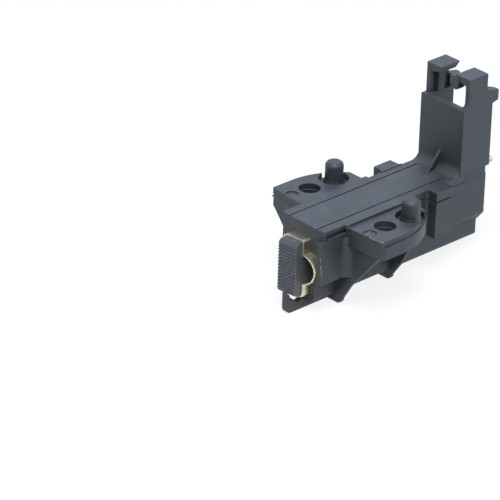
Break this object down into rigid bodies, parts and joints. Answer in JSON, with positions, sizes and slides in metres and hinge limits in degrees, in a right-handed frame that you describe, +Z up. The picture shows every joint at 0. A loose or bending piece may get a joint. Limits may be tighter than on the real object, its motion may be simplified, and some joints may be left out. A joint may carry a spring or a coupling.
{
  "type": "carbon brush holder assembly",
  "caption": "Spring-loaded carbon brush in a brass guide, held in a two-piece moulded holder with screw ears, locating pegs, a blade terminal and a connector tower.",
  "frame": {"origin": "midway between the two screw holes, on the seating face of the ears, which is the face that the pegs stand up from", "axes": "+X points to the carbon's contact face, along the slide; +Y to the side with the guide's half-round bulge; +Z up, the way the pegs and the connector tower stand"},
  "size_m": [0.0633, 0.0364, 0.0453],
  "materials": {
    "shell_plastic": "moulded, fine grain",
    "cover_plastic": "moulded, fine grain",
    "guide_brass": "rolled sheet, slightly dull",
    "carbon": "ground graphite, satin",
    "spring_steel": "drawn wire",
    "copper_braid": "bare stranded copper",
    "blade_brass": "stamped sheet, slightly dull"
  },
  "bodies": {
    "holder": {"lower_shell": "shell_plastic", "cover": "cover_plastic", "brush_guide": "guide_brass", "spring": "spring_steel", "braid": "copper_braid", "terminal_tab": "blade_brass"},
    "brush": {"carbon_block": "carbon"}
  },
  "joints": [
    {"name": "brush_slide", "type": "slide", "parent": "holder", "child": "brush", "axis": [1, 0, 0], "range_m": [-0.01, 0], "stiffness_N_per_m": 200, "springref_m": 0.0075, "deforming": ["spring", "braid"]}
  ]
}
